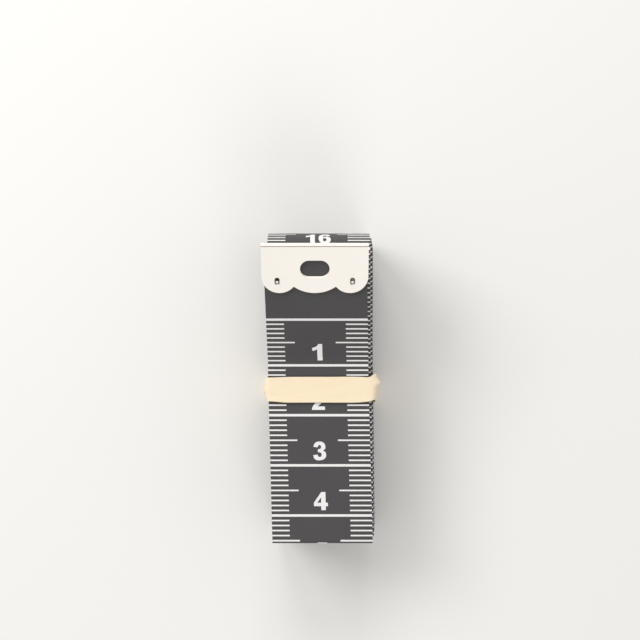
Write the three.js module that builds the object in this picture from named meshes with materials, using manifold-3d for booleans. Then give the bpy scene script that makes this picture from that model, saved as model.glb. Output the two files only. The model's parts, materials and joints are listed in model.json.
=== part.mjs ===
// Cloth tape measure wound into a flat bundle and held by an elastic band.
// Millimetres, +Z up. The bundle lies on its back: X runs across the tape, Y along the bundle
// towards the free end, and the printed scale of the outer turn faces up.
import * as THREE from "three";
import { mergeVertices } from "three/addons/utils/BufferGeometryUtils.js";
import Module from "manifold-3d";

const wasm = await Module();
wasm.setup();

// Tape
const TAPE_WIDTH = 20;
const TAPE_THICKNESS = 0.35;
const SCALE_LENGTH = 1500; // zero line to last line
const LEADER = 15.8; // plain length between a tip and the nearest scale end
const FREE_LENGTH = 25.8; // bend above the band to the tip of the free end
const FREE_ANGLE = 25; // rise of the free end, degrees
const BEND_GAP = 0.3; // parting of the free end and the winding at the bend

// Winding
const BUNDLE_LENGTH = 61.58;
const LAYER_GAP = 0.505;
const CORE_ROOM = 0.46; // slack on each side of the inner ferrule, beyond the layer gap
const END_RUN = 15; // straight length of the inner end, from its last fold to its tip
const BOTTOM_FOLD_RADIUS = 0.35;
const TOP_FRONT_FOLD_RADIUS = 4.6;
const TOP_BACK_FOLD_RADIUS = 1.8;
const INNER_FOLD_RADIUS = 1.2;
const FLARE_ANGLE = 25; // rise of the outer turns above the band, degrees
const FLARE_RAMP = 4.5;
const FLARE_RUN = 15;
const FLARE_EASE = 4.5;
const SETTLE_RAMP = 6; // length over which the back comes down to the surface it lies on
const FAN_TIP = -1.7; // sideways place of the tape at its tip
const FAN_BOTTOM = -0.2; // and at its first fold
const FAN_SETTLED = 0.35; // and at the bottom, deep in the winding
const FAN_SETTLED_TOP = -0.2; // and at the top, deep in the winding
const FAN_DECAY = 0.5; // share of the sideways offset that is left after each turn

// Ferrules and rivets
const FERRULE_OVERHANG = 0.35; // past each edge of the tape
const FERRULE_LENGTH = 9.9;
const PLATE_THICKNESS = 0.42;
const PLATE_CLEARANCE = 0.1; // between a plate and the tape
const TIP_CLEARANCE = 0.35; // between the end of the tape and the fold of the ferrule
const FERRULE_FOLD_RADIUS = 0.3;
const SIDE_SCALLOP_RADIUS = 3.5;
const CENTRE_SCALLOP_RADIUS = 6.9;
const WINDOW_WIDTH = 5.7;
const WINDOW_HEIGHT = 3.5;
const WINDOW_FROM_TIP = 4.85;
const RIVET_FROM_EDGE = 3.05; // rivet axis to the side of the ferrule
const RIVET_FROM_TIP = 7.4;
const RIVET_SHANK_RADIUS = 0.42;
const RIVET_FLANGE_RADIUS = 0.62;
const RIVET_BORE_RADIUS = 0.3;
const RIVET_FLANGE = 0.16;
const RIVET_CLEARANCE = 0.06;

// Band
const BAND_WIDTH = 5.04;
const BAND_THICKNESS = 0.8;
const BAND_CENTRE = -0.22;
const BAND_CLEARANCE = 0.3;
const LIFT_OFF = 2.385; // top of the band to the bend where the free end rises
const BAND_CORNER_RADIUS = 1.4;
const BAND_TRAVEL = 16;

// Values that follow from the driving dimensions
const pitch = TAPE_THICKNESS + LAYER_GAP;
const ferruleWidth = TAPE_WIDTH + 2 * FERRULE_OVERHANG;
const rivetX = ferruleWidth / 2 - RIVET_FROM_EDGE;
const halfLength = (BUNDLE_LENGTH - TAPE_THICKNESS) / 2;
const ferruleThickness = TAPE_THICKNESS + 2 * (PLATE_CLEARANCE + PLATE_THICKNESS);
const rivetReach = ferruleThickness / 2 + RIVET_CLEARANCE + RIVET_FLANGE;
const coreGap = TAPE_THICKNESS / 2 + LAYER_GAP + rivetReach + CORE_ROOM;
const tapeLength = SCALE_LENGTH + 2 * LEADER;
const tipSetback = PLATE_THICKNESS + TIP_CLEARANCE;
const waistRaise = BAND_THICKNESS + BAND_CLEARANCE;
const bandTop = BAND_CENTRE + BAND_WIDTH / 2;
const bandBottom = BAND_CENTRE - BAND_WIDTH / 2;
const bendY = bandTop + LIFT_OFF;
const waistEnd = bandBottom - BAND_TRAVEL - BAND_CLEARANCE;
const freeSlope = THREE.MathUtils.degToRad(FREE_ANGLE);

// Materials
const cloth = { color: 0x535152, roughness: 0.55, metalness: 0 };
const enamel = { color: 0xf8f2e8, roughness: 0.35, metalness: 0.1 };
const steel = { color: 0xb9b8b5, roughness: 0.3, metalness: 1 };
const elastic = { color: 0xfde9ca, roughness: 0.7, metalness: 0 };

function mesh(name, geometry, look) {
  const made = new THREE.Mesh(geometry, new THREE.MeshStandardMaterial(look));
  made.name = name;
  return made;
}

// Closed geometry as a solid for joins and cuts, and back again
function solid(geometry) {
  const bare = geometry.clone();
  bare.deleteAttribute("normal");
  bare.deleteAttribute("uv");
  const merged = mergeVertices(bare, 1e-4);
  const vertProperties = new Float32Array(merged.attributes.position.array);
  const triVerts = new Uint32Array(merged.index.array);
  return new wasm.Manifold(new wasm.Mesh({ numProp: 3, vertProperties, triVerts }));
}

function geometryOf(body) {
  const { vertProperties, triVerts } = body.getMesh();
  const geometry = new THREE.BufferGeometry();
  geometry.setAttribute("position", new THREE.BufferAttribute(vertProperties, 3));
  geometry.setIndex(new THREE.BufferAttribute(triVerts, 1));
  return geometry;
}

// Height that the outer turns gain above the band: a ramp up to a steady rise, then an ease to level
function flare(y) {
  const rise = Math.tan(THREE.MathUtils.degToRad(FLARE_ANGLE));
  const along = THREE.MathUtils.clamp(y - bendY, 0, FLARE_RAMP + FLARE_RUN + FLARE_EASE);
  const ramp = Math.min(along, FLARE_RAMP);
  const run = THREE.MathUtils.clamp(along - FLARE_RAMP, 0, FLARE_RUN);
  const ease = Math.max(along - FLARE_RAMP - FLARE_RUN, 0);
  return rise * (ramp ** 2 / (2 * FLARE_RAMP) + run + ease - ease ** 2 / (2 * FLARE_EASE));
}

// Middle height of the outermost back layer: raised at the waist, where the band passes under it
function backHeight(y) {
  const below = THREE.MathUtils.smoothstep(waistEnd - y, 0, SETTLE_RAMP);
  const above = THREE.MathUtils.smoothstep(y - bendY, 0, SETTLE_RAMP);
  return TAPE_THICKNESS / 2 + waistRaise * (1 - Math.max(below, above));
}

const waistBack = TAPE_THICKNESS / 2 + waistRaise;

// Heights along Y at which every layer has a point, so that the layers bend side by side
function layerLevels() {
  const settleSteps = 5;
  const flareSteps = 10;
  const levels = [];
  for (let i = 0; i <= settleSteps; i++) levels.push(waistEnd - (SETTLE_RAMP * i) / settleSteps);
  const flareLength = FLARE_RAMP + FLARE_RUN + FLARE_EASE;
  for (let i = 0; i <= flareSteps; i++) levels.push(bendY + (flareLength * i) / flareSteps);
  return levels.sort((a, b) => a - b);
}

const levels = layerLevels();

// Quarter turn out of a run that heads `way` along Y at height z into the wall, in order of travel
function cornerPoints(z, towards, wall, radius, way, x) {
  const steps = radius > 2 * INNER_FOLD_RADIUS ? 5 : 3;
  const points = [];
  for (let i = 0; i <= steps; i++) {
    const angle = ((Math.PI / 2) * i) / steps;
    const y = wall - way * radius * (1 - Math.sin(angle));
    points.push({ x, y, z: z + towards * radius * (1 - Math.cos(angle)) });
  }
  return points;
}

// Points of one run between two places on Y, at every level on the way
function addRun(route, start, end) {
  const way = Math.sign(end.y - start.y);
  const between = levels.filter((y) => way * (y - start.y) > 0.6 && way * (end.y - y) > 0.6);
  if (way < 0) between.reverse();
  route.push(start);
  for (const y of between) {
    const share = (y - start.y) / (end.y - start.y);
    route.push({ x: THREE.MathUtils.lerp(start.x, end.x, share), y, z: start.z });
  }
}

// Middle line of the tape from the bend inwards: runs down the front and up the back, each turn
// one pitch inside the last, then the straight inner end in the core.
// The innermost fold is drawn in by `slack`, so that the whole tape has its true length.
function windingRoute(runs, slack) {
  const thickness = 2 * coreGap + (runs - 2) * pitch;
  const backLayers = Math.floor(runs / 2);
  const endHeight = coreGap + (backLayers - 1) * pitch;
  const fanTop = (turn) => FAN_SETTLED_TOP + (FAN_TIP - FAN_SETTLED_TOP) * FAN_DECAY ** turn;
  const fanBottom = (turn) => FAN_SETTLED + (FAN_BOTTOM - FAN_SETTLED) * FAN_DECAY ** turn;
  const endX = FAN_SETTLED - FERRULE_OVERHANG; // the inner ferrule stays in line with the turns' edge
  const bendShare = FREE_LENGTH / (FREE_LENGTH + bendY + halfLength);
  const bendX = THREE.MathUtils.lerp(FAN_TIP, FAN_BOTTOM, bendShare);
  const route = [];
  let here = { x: bendX, y: bendY - BEND_GAP / 2, z: thickness };
  for (let run = 0; run < runs; run++) {
    const turn = Math.floor(run / 2);
    const way = run % 2 === 0 ? -1 : 1;
    const last = run === runs - 1;
    const drawnIn = run === runs - 2 ? slack : 0;
    const wall = way * (halfLength - turn * pitch - drawnIn);
    const next = way < 0 ? turn * pitch : thickness - (turn + 1) * pitch;
    const to = last ? endHeight : next;
    const x = last ? endX : way < 0 ? fanBottom(turn) : fanTop(turn + 1);
    const towards = Math.sign(to - here.z);
    const most = Math.abs(to - here.z) / 2;
    const nested = (radius) => Math.max(radius - turn * pitch, INNER_FOLD_RADIUS);
    const first = Math.min(way < 0 ? BOTTOM_FOLD_RADIUS : nested(TOP_BACK_FOLD_RADIUS), most);
    const second = Math.min(way < 0 ? BOTTOM_FOLD_RADIUS : nested(TOP_FRONT_FOLD_RADIUS), most);
    addRun(route, here, { x, y: wall - way * first });
    route.push(...cornerPoints(here.z, towards, wall, first, way, x));
    here = { x, y: wall - way * second, z: to };
    const out = cornerPoints(to, -towards, wall, second, way, x).reverse();
    route.push(...out.slice(first + second < 2 * most ? 0 : 1, -1));
  }
  const heading = runs % 2 === 0 ? -1 : 1;
  const shaped = route.map((p) => placed(p, thickness));
  const endStart = placed(here, thickness);
  const endStop = placed({ ...here, y: here.y + heading * END_RUN }, thickness);
  const direction = endStop.clone().sub(endStart).normalize();
  const tip = endStart.clone().addScaledVector(direction, END_RUN);
  return { points: [...shaped, endStart, tip], tip, direction, thickness };
}

// A point of the even winding brought to its place in the drawn-in and flared bundle
function placed(point, thickness) {
  const back = backHeight(point.y);
  const front = waistBack + thickness + flare(point.y);
  const z = back + (point.z / thickness) * (front - back);
  return new THREE.Vector3(point.x, point.y, z);
}

function routeLength(points) {
  return points.slice(1).reduce((sum, p, i) => sum + p.distanceTo(points[i]), 0);
}

// The fewest runs that hold the tape, with the innermost fold drawn in to the exact length
function fitWinding() {
  const wanted = tapeLength - FREE_LENGTH;
  let runs = 4;
  while (routeLength(windingRoute(runs, 0).points) < wanted) runs++;
  let low = 0;
  let high = BUNDLE_LENGTH / 2;
  for (let i = 0; i < 40; i++) {
    const middle = (low + high) / 2;
    if (routeLength(windingRoute(runs, middle).points) > wanted) low = middle;
    else high = middle;
  }
  return { ...windingRoute(runs, low), turns: runs / 2 };
}

// Flat ribbon along a route that bends only about X
function ribbonGeometry(points) {
  const position = [];
  const index = [];
  points.forEach((point, i) => {
    const before = points[Math.max(i - 1, 0)];
    const after = points[Math.min(i + 1, points.length - 1)];
    const along = after.clone().sub(before).setX(0).normalize();
    const half = TAPE_THICKNESS / 2;
    const side = new THREE.Vector3(0, -along.z * half, along.y * half);
    for (const [across, face] of [[-1, -1], [1, -1], [1, 1], [-1, 1]]) {
      const x = point.x + (across * TAPE_WIDTH) / 2;
      position.push(x, point.y + face * side.y, point.z + face * side.z);
    }
    if (i === 0) return;
    const now = 4 * i;
    for (let k = 0; k < 4; k++) {
      const a = now - 4 + k;
      const b = now - 4 + ((k + 1) % 4);
      index.push(a, b, b + 4, a, b + 4, a + 4);
    }
  });
  const end = 4 * (points.length - 1);
  index.push(0, 2, 1, 0, 3, 2, end, end + 1, end + 2, end, end + 2, end + 3);
  const geometry = new THREE.BufferGeometry();
  geometry.setAttribute("position", new THREE.Float32BufferAttribute(position, 3));
  geometry.setIndex(index);
  return facingOut(geometry);
}

// Faces turned round where the ribbon's direction made them point in
function facingOut(geometry) {
  if (solid(geometry).volume() > 0) return geometry;
  const order = geometry.index.array;
  for (let i = 0; i < order.length; i += 3) [order[i + 1], order[i + 2]] = [order[i + 2], order[i + 1]];
  return geometry;
}

// Least clear distance between two parts of the ribbon that aren't neighbours along it
function leastGap(points) {
  const neighbour = 4 * pitch;
  const flat = points.map((p) => new THREE.Vector3(0, p.y, p.z));
  const station = [0];
  for (let i = 1; i < flat.length; i++) station.push(station[i - 1] + flat[i].distanceTo(flat[i - 1]));
  const nearest = new THREE.Vector3();
  let least = Infinity;
  for (let i = 1; i < flat.length; i++) {
    const piece = new THREE.Line3(flat[i - 1], flat[i]);
    for (let k = 0; k < flat.length; k++) {
      const apart = Math.min(Math.abs(station[k] - station[i]), Math.abs(station[k] - station[i - 1]));
      if (apart < neighbour) continue;
      piece.closestPointToPoint(flat[k], true, nearest);
      least = Math.min(least, nearest.distanceTo(flat[k]) - TAPE_THICKNESS);
    }
  }
  return least;
}

// Outline of a ferrule in the plane of its plates, tip at Y = 0 and the scallops below
function ferruleOutline() {
  const side = ferruleWidth / 2;
  const lobe = side - SIDE_SCALLOP_RADIUS;
  const centreY = CENTRE_SCALLOP_RADIUS - FERRULE_LENGTH;
  const lobeY = SIDE_SCALLOP_RADIUS - FERRULE_LENGTH;
  const [cuspX, cuspY] = cusp(lobe, lobeY, centreY);
  const lobeAngle = Math.atan2(cuspY - lobeY, cuspX - lobe);
  const centreAngle = Math.atan2(cuspY - centreY, cuspX);
  const outline = new THREE.Shape();
  outline.moveTo(side, 0);
  outline.lineTo(-side, 0);
  outline.lineTo(-side, lobeY);
  outline.absarc(-lobe, lobeY, SIDE_SCALLOP_RADIUS, Math.PI, 3 * Math.PI - lobeAngle, false);
  outline.absarc(0, centreY, CENTRE_SCALLOP_RADIUS, Math.PI - centreAngle, centreAngle, false);
  outline.absarc(lobe, lobeY, SIDE_SCALLOP_RADIUS, lobeAngle, 0, false);
  outline.closePath();
  outline.holes.push(windowOutline());
  for (const sign of [-1, 1]) {
    const hole = new THREE.Path();
    const radius = RIVET_SHANK_RADIUS + RIVET_CLEARANCE;
    hole.absarc(sign * rivetX, -RIVET_FROM_TIP, radius, 0, 2 * Math.PI, true);
    outline.holes.push(hole);
  }
  return outline;
}

// Point where the right lobe and the centre scallop meet
function cusp(lobe, lobeY, centreY) {
  const apart = Math.hypot(lobe, lobeY - centreY);
  const a = (CENTRE_SCALLOP_RADIUS ** 2 - SIDE_SCALLOP_RADIUS ** 2 + apart ** 2) / (2 * apart);
  const h = Math.sqrt(CENTRE_SCALLOP_RADIUS ** 2 - a ** 2);
  const [ux, uy] = [lobe / apart, (lobeY - centreY) / apart];
  return [a * ux + h * uy, centreY + a * uy - h * ux];
}

// Oblong window with round ends
function windowOutline() {
  const radius = WINDOW_HEIGHT / 2;
  const reach = WINDOW_WIDTH / 2 - radius;
  const opening = new THREE.Path();
  opening.absarc(reach, -WINDOW_FROM_TIP, radius, Math.PI / 2, -Math.PI / 2, true);
  opening.absarc(-reach, -WINDOW_FROM_TIP, radius, -Math.PI / 2, (-3 * Math.PI) / 2, true);
  opening.closePath();
  return opening;
}

// Side view of the folded clip: two plates round the tape, rounded at the tip
function ferruleSideProfile() {
  const half = ferruleThickness / 2;
  const pocket = TAPE_THICKNESS / 2 + PLATE_CLEARANCE;
  const r = FERRULE_FOLD_RADIUS;
  const profile = new THREE.Shape();
  profile.moveTo(-FERRULE_LENGTH, -half);
  profile.lineTo(-r, -half);
  profile.absarc(-r, -half + r, r, -Math.PI / 2, 0, false);
  profile.absarc(-r, half - r, r, 0, Math.PI / 2, false);
  profile.lineTo(-FERRULE_LENGTH, half);
  profile.lineTo(-FERRULE_LENGTH, pocket);
  profile.lineTo(-PLATE_THICKNESS, pocket);
  profile.lineTo(-PLATE_THICKNESS, -pocket);
  profile.lineTo(-FERRULE_LENGTH, -pocket);
  profile.closePath();
  return profile;
}

// Folded metal clip: the side view swept across the tape and trimmed to the scalloped outline
function ferruleGeometry() {
  const clip = new THREE.ExtrudeGeometry(ferruleSideProfile(), {
    depth: ferruleWidth,
    bevelEnabled: false,
    curveSegments: 3,
  });
  clip.rotateX(Math.PI / 2);
  clip.rotateZ(Math.PI / 2);
  clip.translate(-ferruleWidth / 2, 0, 0);
  const blank = new THREE.ExtrudeGeometry(ferruleOutline(), {
    depth: 2 * ferruleThickness,
    bevelEnabled: false,
    curveSegments: 10,
  });
  blank.translate(0, 0, -ferruleThickness);
  return geometryOf(solid(clip).intersect(solid(blank)));
}

// Tubular rivet, flanged on both faces of the ferrule
function rivetGeometry() {
  const seat = ferruleThickness / 2 + RIVET_CLEARANCE;
  const outline = [
    [RIVET_BORE_RADIUS, -rivetReach],
    [RIVET_FLANGE_RADIUS, -rivetReach],
    [RIVET_FLANGE_RADIUS, -seat],
    [RIVET_SHANK_RADIUS, -seat],
    [RIVET_SHANK_RADIUS, seat],
    [RIVET_FLANGE_RADIUS, seat],
    [RIVET_FLANGE_RADIUS, rivetReach],
    [RIVET_BORE_RADIUS, rivetReach],
    [RIVET_BORE_RADIUS, -rivetReach],
  ];
  const sides = 14;
  const geometry = new THREE.LatheGeometry(outline.map(([r, y]) => new THREE.Vector2(r, y)), sides);
  return geometry.rotateX(Math.PI / 2);
}

// Ferrule with its two rivets, tip at the group's origin, tape along -Y
function ferruleGroup(prefix) {
  const group = new THREE.Group();
  group.add(mesh(prefix + "_ferrule", ferruleGeometry(), enamel));
  for (const [word, sign] of [["left", -1], ["right", 1]]) {
    const rivet = mesh(prefix + "_rivet_" + word, rivetGeometry(), steel);
    rivet.position.set(sign * rivetX, -RIVET_FROM_TIP, 0);
    group.add(rivet);
  }
  return group;
}

// Tape with the two rivet holes of the ferrule placed on it
function pierced(geometry, ferrule) {
  ferrule.updateMatrixWorld(true);
  let body = solid(geometry);
  for (const sign of [-1, 1]) {
    const radius = RIVET_SHANK_RADIUS + RIVET_CLEARANCE;
    const punch = new THREE.CylinderGeometry(radius, radius, 4 * TAPE_THICKNESS, 14);
    punch.rotateX(Math.PI / 2);
    punch.translate(sign * rivetX, -RIVET_FROM_TIP, 0);
    punch.applyMatrix4(ferrule.matrixWorld);
    body = body.subtract(solid(punch));
  }
  return geometryOf(body);
}

function roundedRectangle(target, left, right, bottom, top, radius) {
  target.moveTo(left + radius, bottom);
  target.lineTo(right - radius, bottom);
  target.absarc(right - radius, bottom + radius, radius, -Math.PI / 2, 0, false);
  target.absarc(right - radius, top - radius, radius, 0, Math.PI / 2, false);
  target.absarc(left + radius, top - radius, radius, Math.PI / 2, Math.PI, false);
  target.absarc(left + radius, bottom + radius, radius, Math.PI, 1.5 * Math.PI, false);
  target.closePath();
  return target;
}

// Flat elastic loop round the waist of the bundle
function bandMesh(left, right, bottom, top) {
  const t = BAND_THICKNESS;
  const inner = BAND_CORNER_RADIUS - t;
  const outline = new THREE.Shape();
  roundedRectangle(outline, left - t, right + t, bottom - t, top + t, BAND_CORNER_RADIUS);
  outline.holes.push(roundedRectangle(new THREE.Path(), left, right, bottom, top, inner));
  const geometry = new THREE.ExtrudeGeometry(outline, {
    depth: BAND_WIDTH,
    bevelEnabled: false,
    curveSegments: 5,
  });
  geometry.rotateX(Math.PI / 2);
  const band = mesh("elastic_band", geometry, elastic);
  band.position.y = bandTop;
  return band;
}

const winding = fitWinding();
const waistFront = waistBack + winding.thickness;
const bend = new THREE.Vector3(winding.points[0].x, bendY, waistFront);
const rise = new THREE.Vector3(0, Math.cos(freeSlope), Math.sin(freeSlope));
const lean = (bend.x - FAN_TIP) / FREE_LENGTH;

function freePoint(distance) {
  const point = bend.clone().addScaledVector(rise, distance);
  point.x -= lean * distance;
  return point;
}

const startFerrule = ferruleGroup("start");
startFerrule.position.copy(freePoint(FREE_LENGTH));
startFerrule.rotation.x = freeSlope;
const freeEnd = ribbonGeometry([freePoint(BEND_GAP / 2), freePoint(FREE_LENGTH - tipSetback)]);

const endFerrule = ferruleGroup("end");
endFerrule.position.copy(winding.tip);
endFerrule.rotation.x = Math.atan2(winding.direction.z, winding.direction.y);
const woundPoints = [...winding.points];
woundPoints[woundPoints.length - 1] = winding.tip.clone().addScaledVector(winding.direction, -tipSetback);
const wound = ribbonGeometry(woundPoints);

const bandLeft = bend.x - TAPE_WIDTH / 2 - BAND_CLEARANCE;
const bandRight = FAN_SETTLED + TAPE_WIDTH / 2 + BAND_CLEARANCE;
const bandUnder = waistBack - TAPE_THICKNESS / 2 - BAND_CLEARANCE;
const bandOver = waistFront + TAPE_THICKNESS / 2 + BAND_CLEARANCE;

// The whole part, with its origin at the middle of the foot of its box
const bundle = new THREE.Group();
bundle.add(mesh("tape_winding", pierced(wound, endFerrule), cloth));
bundle.add(mesh("tape_free_end", pierced(freeEnd, startFerrule), cloth));
bundle.add(startFerrule, endFerrule);
bundle.add(bandMesh(bandLeft, bandRight, bandUnder, bandOver));
const box = new THREE.Box3().setFromObject(bundle, true);
const middle = box.getCenter(new THREE.Vector3());
bundle.position.set(-middle.x, -middle.y, -box.min.z);

const tapeMeasure = new THREE.Group();
tapeMeasure.add(bundle);

const hinge = bend.clone().add(bundle.position);
console.log("turns: " + winding.turns);
console.log("least gap between turns: " + leastGap(woundPoints).toFixed(3) + " mm");
console.log("bend line at y " + hinge.y.toFixed(3) + ", z " + (hinge.z + TAPE_THICKNESS / 2).toFixed(3));

export default tapeMeasure;
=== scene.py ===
import json
import math
from bisect import bisect_right

import bmesh
import bpy
from mathutils import Matrix, Vector, noise


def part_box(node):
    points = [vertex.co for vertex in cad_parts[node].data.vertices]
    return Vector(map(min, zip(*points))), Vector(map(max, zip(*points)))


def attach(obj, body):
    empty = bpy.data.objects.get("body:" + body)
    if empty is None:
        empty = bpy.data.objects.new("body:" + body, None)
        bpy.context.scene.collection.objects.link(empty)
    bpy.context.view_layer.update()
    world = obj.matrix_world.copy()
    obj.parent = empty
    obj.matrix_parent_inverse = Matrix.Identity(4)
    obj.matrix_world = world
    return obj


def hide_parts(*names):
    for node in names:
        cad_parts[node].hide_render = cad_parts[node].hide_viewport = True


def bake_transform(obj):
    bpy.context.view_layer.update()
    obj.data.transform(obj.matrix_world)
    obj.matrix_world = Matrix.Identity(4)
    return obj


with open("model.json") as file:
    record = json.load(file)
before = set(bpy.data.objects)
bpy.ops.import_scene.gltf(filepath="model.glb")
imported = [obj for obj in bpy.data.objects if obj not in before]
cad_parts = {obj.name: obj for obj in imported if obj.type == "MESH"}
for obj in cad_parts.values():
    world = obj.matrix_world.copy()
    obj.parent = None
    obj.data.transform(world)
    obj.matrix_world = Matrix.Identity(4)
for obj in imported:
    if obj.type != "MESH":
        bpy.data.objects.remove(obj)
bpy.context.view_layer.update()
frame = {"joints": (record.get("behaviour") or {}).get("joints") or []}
scene = bpy.context.scene
mm = 0.001  # sizes below are in millimetres


def smoothstep(value, low, high):
    t = min(max((value - low) / (high - low), 0), 1)
    return t * t * (3 - 2 * t)


def mix(a, b, share):
    return a + (b - a) * share


def boxOf(node):
    low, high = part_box(node)
    return Vector(low) / mm, Vector(high) / mm


# Shader values and materials

class Value:
    # an output socket that can stand in a sum
    def __init__(self, look, socket):
        self.look = look
        self.socket = socket

    def __add__(self, other):
        return self.look.maths("ADD", self, other)

    def __radd__(self, other):
        return self.look.maths("ADD", other, self)

    def __sub__(self, other):
        return self.look.maths("SUBTRACT", self, other)

    def __rsub__(self, other):
        return self.look.maths("SUBTRACT", other, self)

    def __mul__(self, other):
        return self.look.maths("MULTIPLY", self, other)

    def __rmul__(self, other):
        return self.look.maths("MULTIPLY", other, self)


def pick(sockets, key):
    if isinstance(key, int):
        return sockets[key]
    return next((s for s in sockets if s.identifier == key), None) or sockets[key]


class Look:
    def __init__(self, name, fixed):
        self.material = bpy.data.materials.new(name)
        self.material.use_nodes = True
        self.tree = self.material.node_tree
        self.shader = self.tree.nodes["Principled BSDF"]
        for key, value in fixed.items():
            self.shader.inputs[key].default_value = value

    def feed(self, socket, value):
        if isinstance(value, Value):
            self.tree.links.new(value.socket, socket)
        else:
            socket.default_value = value

    def add(self, kind, settings, sockets, out=0):
        node = self.tree.nodes.new(kind)
        for key, value in settings.items():
            if key == "stops":
                elements = node.color_ramp.elements
                while len(elements) < len(value):
                    elements.new(1)
                for element, (place, shade) in zip(elements, value):
                    element.position = place
                    element.color = (shade, shade, shade, 1)
            else:
                setattr(node, key, value)
        for key, value in sockets.items():
            self.feed(pick(node.inputs, key), value)
        return Value(self, pick(node.outputs, out))

    def maths(self, operation, a, b=0.0):
        return self.add("ShaderNodeMath", {"operation": operation}, {0: a, 1: b})

    def sine(self, value):
        return self.maths("SINE", value)

    def noise(self, place, scale, detail=2.0):
        sockets = {"Vector": place, "Scale": scale, "Detail": detail}
        return self.add("ShaderNodeTexNoise", {}, sockets, "Fac")

    def stretched(self, place, size):
        return self.add("ShaderNodeMapping", {}, {"Vector": place, "Scale": size})

    def ramp(self, value, stops):
        return self.add("ShaderNodeValToRGB", {"stops": stops}, {"Fac": value})

    def blend(self, share, a, b):
        sockets = {"Factor_Float": share, "A_Color": a, "B_Color": b}
        return self.add("ShaderNodeMix", {"data_type": "RGBA"}, sockets, "Result_Color")

    def uvPlace(self, name):
        return self.add("ShaderNodeUVMap", {"uv_map": name}, {})

    def objectPlace(self):
        return self.add("ShaderNodeTexCoord", {}, {}, "Object")

    def acrossAndDown(self, place):
        across = self.add("ShaderNodeSeparateXYZ", {}, {"Vector": place}, "X")
        return across, Value(self, across.socket.node.outputs["Y"])

    def tones(self, share, name):
        dark, light = finishes[name]
        return self.blend(share, paint(*dark), paint(*light))

    def finish(self, colour, roughness, height, strength, distance):
        sockets = {"Height": height, "Strength": strength, "Distance": distance}
        normal = self.add("ShaderNodeBump", {}, sockets)
        self.feed(self.shader.inputs["Base Color"], colour)
        self.feed(self.shader.inputs["Roughness"], roughness)
        self.feed(self.shader.inputs["Normal"], normal)
        return self.material


def paint(red, green, blue):
    # screen colour as a linear one
    def linear(part):
        c = part / 255
        return c / 12.92 if c <= 0.04045 else ((c + 0.055) / 1.055) ** 2.4
    return (linear(red), linear(green), linear(blue), 1)


# screen colours, the darkest and the lightest of each finish
finishes = dict(
    cloth=((66, 64, 65), (88, 86, 86)),
    ink=((226, 224, 222), (246, 244, 242)),
    cutEdge=((46, 44, 45), (88, 85, 84)),
    enamel=((250, 243, 232), (253, 247, 239)),
    steel=((196, 194, 190), (228, 226, 222)),
    # the next two are painted shade for the floors across the eyelets' bores, the right one painted a
    # lighter grey than the left
    boreShadeDark=((30, 28, 26), (80, 76, 70)),
    boreShadeGrey=((104, 98, 90), (168, 160, 150)),
    # painted shade for the fine groove beside the clip's fold
    foldGrooveShade=((150, 145, 138), (206, 200, 192)),
    elastic=((245, 217, 179), (247, 235, 210)),
    floor=((238, 236, 232), (242, 240, 236)),
)
wornInk = (150, 148, 147)
enamelSpeck = (205, 192, 176)
weave = dict(thread=0.24, tone=0.09, grain=3.2)


def weaveHeight(look, place):
    # plain weave under the coat: warp and weft that pass over each other in turn
    u, v = look.acrossAndDown(place)
    turn = 2 * math.pi / weave["thread"]
    warp = look.sine(u * turn)
    weft = look.sine(v * turn)
    return warp * weft * 0.5 + 0.5


def coatedCloth():
    look = Look("coatedCloth", {"Sheen Weight": 0.03, "Sheen Roughness": 0.5, "Specular IOR Level": 0.18})
    place = look.uvPlace("cut")
    threads = weaveHeight(look, place)
    grain = look.noise(place, weave["grain"], 4)
    tone = look.noise(place, weave["tone"], 3)
    shade = threads * 0.22 + grain * 0.42 + tone * 0.36
    colour = look.tones(shade, "cloth")
    roughness = 0.66 - grain * 0.2
    return look.finish(colour, roughness, threads * 0.7 + grain * 0.6, 0.3, 0.00003)


def scaleInk():
    look = Look("scaleInk", {"Specular IOR Level": 0.4})
    place = look.uvPlace("cut")
    threads = weaveHeight(look, place)
    grain = look.noise(place, 2.6, 4)
    worn = look.ramp(look.noise(place, 5.5, 3), [(0.56, 0.0), (0.74, 1.0)])
    colour = look.blend(worn * 0.28, look.tones(grain, "ink"), paint(*wornInk))
    return look.finish(colour, 0.62 - grain * 0.12, threads * 0.6 + grain * 0.5, 0.25, 0.00003)


def cutEdge():
    look = Look("cutEdge", {"Specular IOR Level": 0.3})
    place = look.uvPlace("cut")
    fibre = look.noise(look.stretched(place, (1, 7, 1)), 1.6, 4)
    colour = look.tones(fibre, "cutEdge")
    return look.finish(colour, 0.9, fibre, 0.5, 0.00006)


def creamEnamel():
    look = Look("creamEnamel", {"Coat Roughness": 0.12, "Coat Weight": 0.25, "Specular IOR Level": 0.5})
    place = look.objectPlace()
    tone = look.noise(place, 90, 3)
    peel = look.noise(place, 1600, 2)
    speck = look.ramp(look.noise(place, 2600, 2), [(0.7, 0.0), (0.78, 1.0)])
    colour = look.blend(speck * 0.12, look.tones(tone, "enamel"), paint(*enamelSpeck))
    return look.finish(colour, 0.34 + tone * 0.1, peel, 0.12, 0.00005)


def brightSteel():
    look = Look("brightSteel", {"Metallic": 1.0})
    place = look.objectPlace()
    brushed = look.noise(place, 5200, 3)
    colour = look.tones(brushed, "steel")
    return look.finish(colour, 0.2 + brushed * 0.16, brushed, 0.15, 0.00001)


# a material of painted shade: a dark colour, mottled at random, laid where only shade falls
def recessInside(name):
    look = Look(name, {"Specular IOR Level": 0.2})
    place = look.objectPlace()
    mottle = look.noise(place, 3000, 3)
    return look.finish(look.tones(mottle, name), 0.8, mottle, 0.2, 0.00002)


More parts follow.
